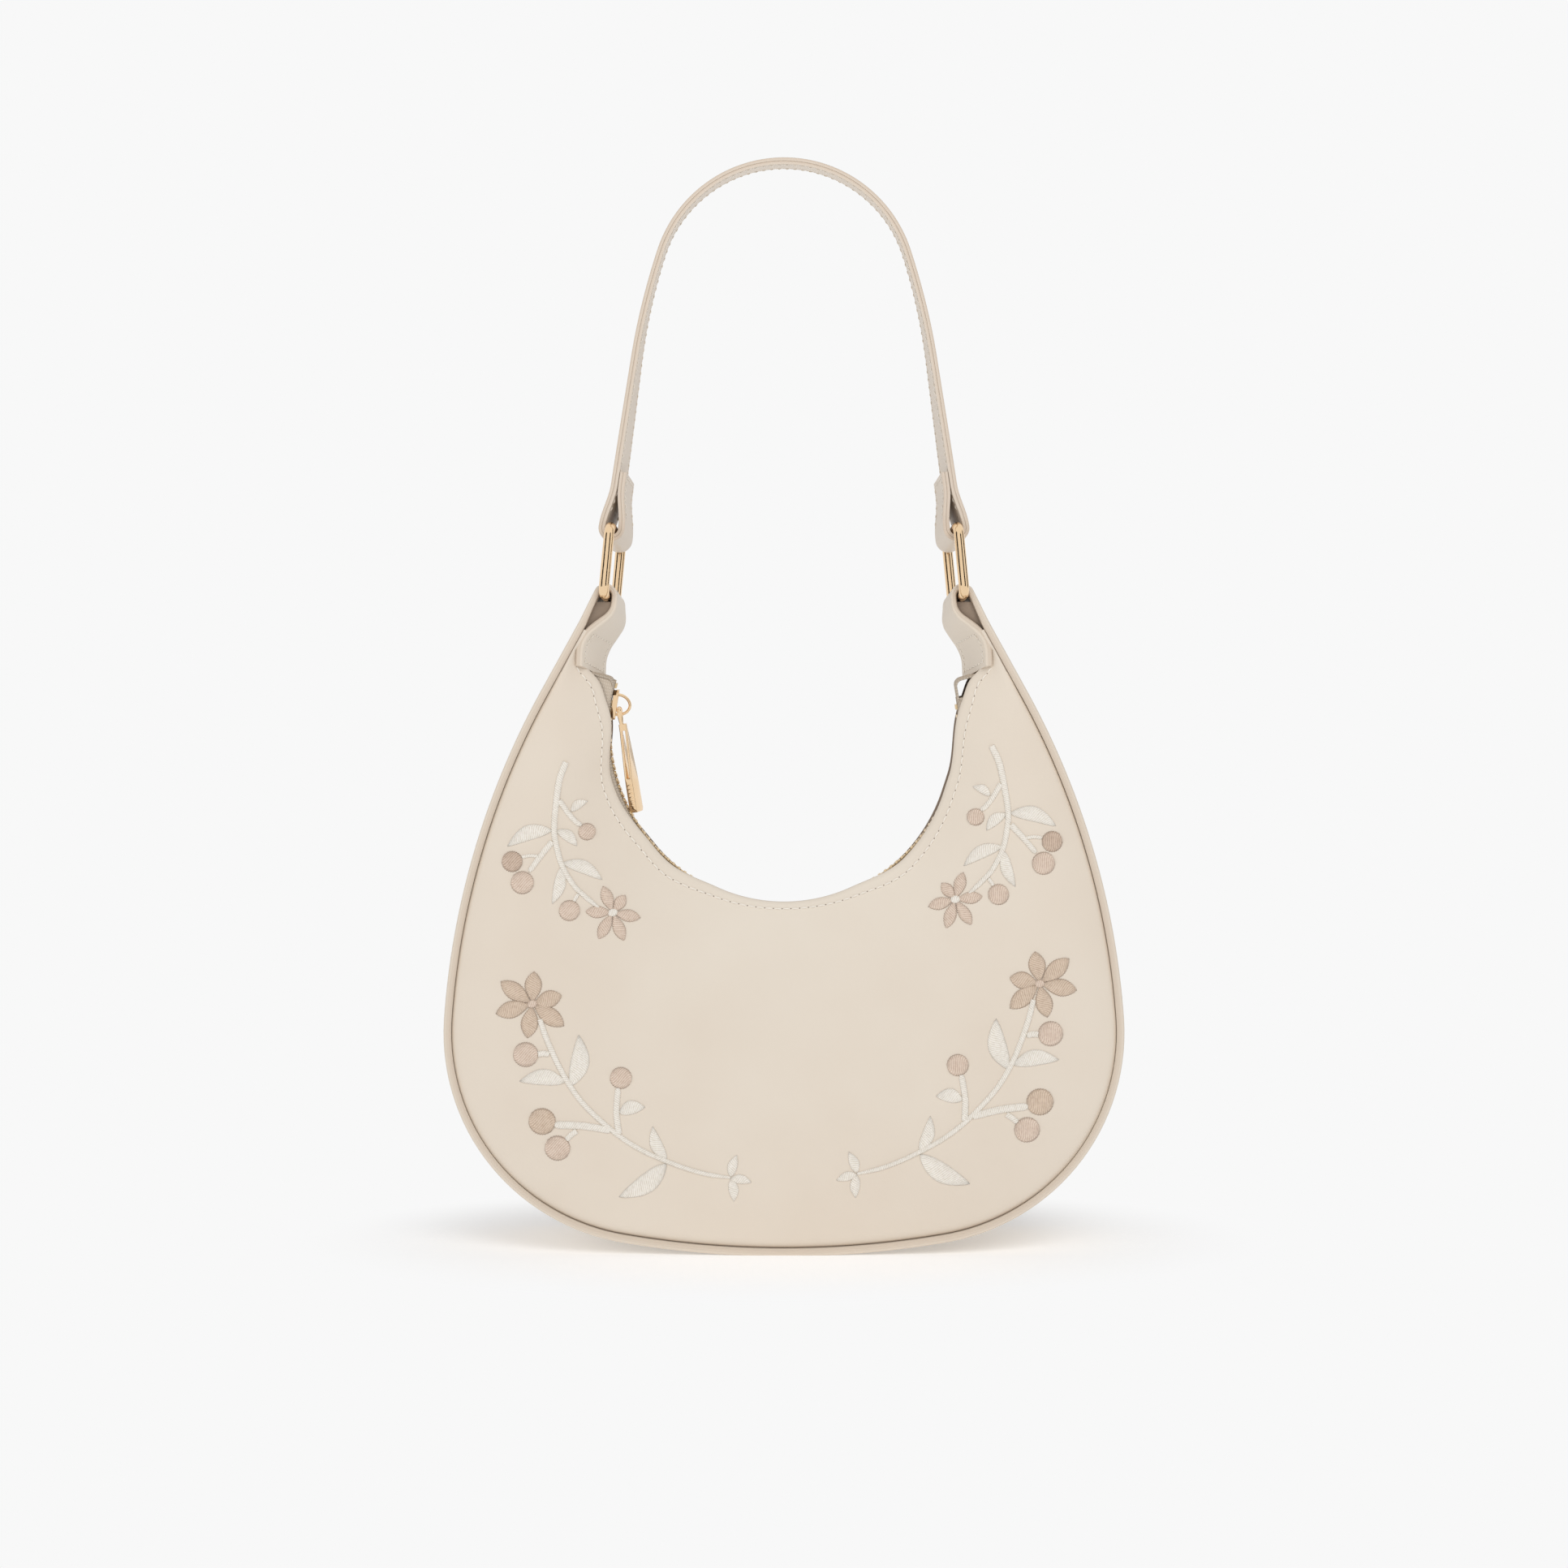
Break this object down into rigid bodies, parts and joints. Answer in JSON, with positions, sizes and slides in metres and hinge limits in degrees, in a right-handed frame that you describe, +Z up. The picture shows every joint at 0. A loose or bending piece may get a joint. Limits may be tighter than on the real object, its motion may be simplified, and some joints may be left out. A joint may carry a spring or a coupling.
{
  "type": "baguette bag",
  "caption": "Small crescent leather shoulder bag with an arched metal zip, a stiff gusset, oblong rings and a short strap.",
  "frame": {"origin": "middle of the base, on the surface that the bag stands on", "axes": "+Z up, +X to the right as seen from the front, the front panel faces -Y"},
  "size_m": [0.2602, 0.0602, 0.4184],
  "materials": {
    "leather": "smooth satin ivory leather, tone-on-tone stitching and embroidery",
    "lining": "woven beige lining cloth",
    "zip_tape": "woven beige zip tape",
    "gold": "polished pale gold plating"
  },
  "bodies": {
    "bag": {"gusset": "leather", "front_panel": "leather", "back_panel": "leather", "gusset_lining": "lining", "front_lining": "lining", "back_lining": "lining", "front_tape": "zip_tape", "back_tape": "zip_tape", "front_teeth": "gold", "back_teeth": "gold", "top_stops": "gold", "bottom_stop": "gold"},
    "slider": {"slider_body": "gold", "slider_crown": "gold"},
    "pull": {"puller": "gold"},
    "ring_left": {"left_ring": "gold"},
    "ring_right": {"right_ring": "gold"},
    "strap": {"strap_outer": "leather", "strap_facing": "leather"}
  },
  "joints": [
    {"name": "zip_travel", "type": "hinge", "parent": "bag", "child": "slider", "pos_m": [0, 0, 0.1996], "axis": [0, -1, 0], "range_deg": [0, 190.5], "deforming": ["front_tape", "back_tape", "front_teeth", "back_teeth"]},
    {"name": "puller_swing", "type": "hinge", "parent": "slider", "child": "pull", "pos_m": [-0.06367, 0, 0.20766], "axis": [0, -1, 0], "range_deg": [0, 150]},
    {"name": "left_ring_sway", "type": "hinge", "parent": "bag", "child": "ring_left", "pos_m": [-0.0674, 0, 0.24984], "axis": [0.0853, 0.9744, -0.2079], "range_deg": [-12, 12]},
    {"name": "strap_sway", "type": "hinge", "parent": "ring_left", "child": "strap", "pos_m": [-0.06509, 0.00529, 0.2756], "axis": [0.0853, 0.9744, -0.2079], "range_deg": [-12.5, 12.5]},
    {"name": "right_ring_sway", "type": "hinge", "parent": "bag", "child": "ring_right", "pos_m": [0.0674, 0, 0.24984], "axis": [-0.0853, 0.9744, -0.2079], "range_deg": [-12, 12]}
  ],
  "couplings": [
    {"joint": "strap_sway", "follows": "left_ring_sway", "ratio": -1.028},
    {"joint": "right_ring_sway", "follows": "left_ring_sway", "ratio": 1}
  ]
}
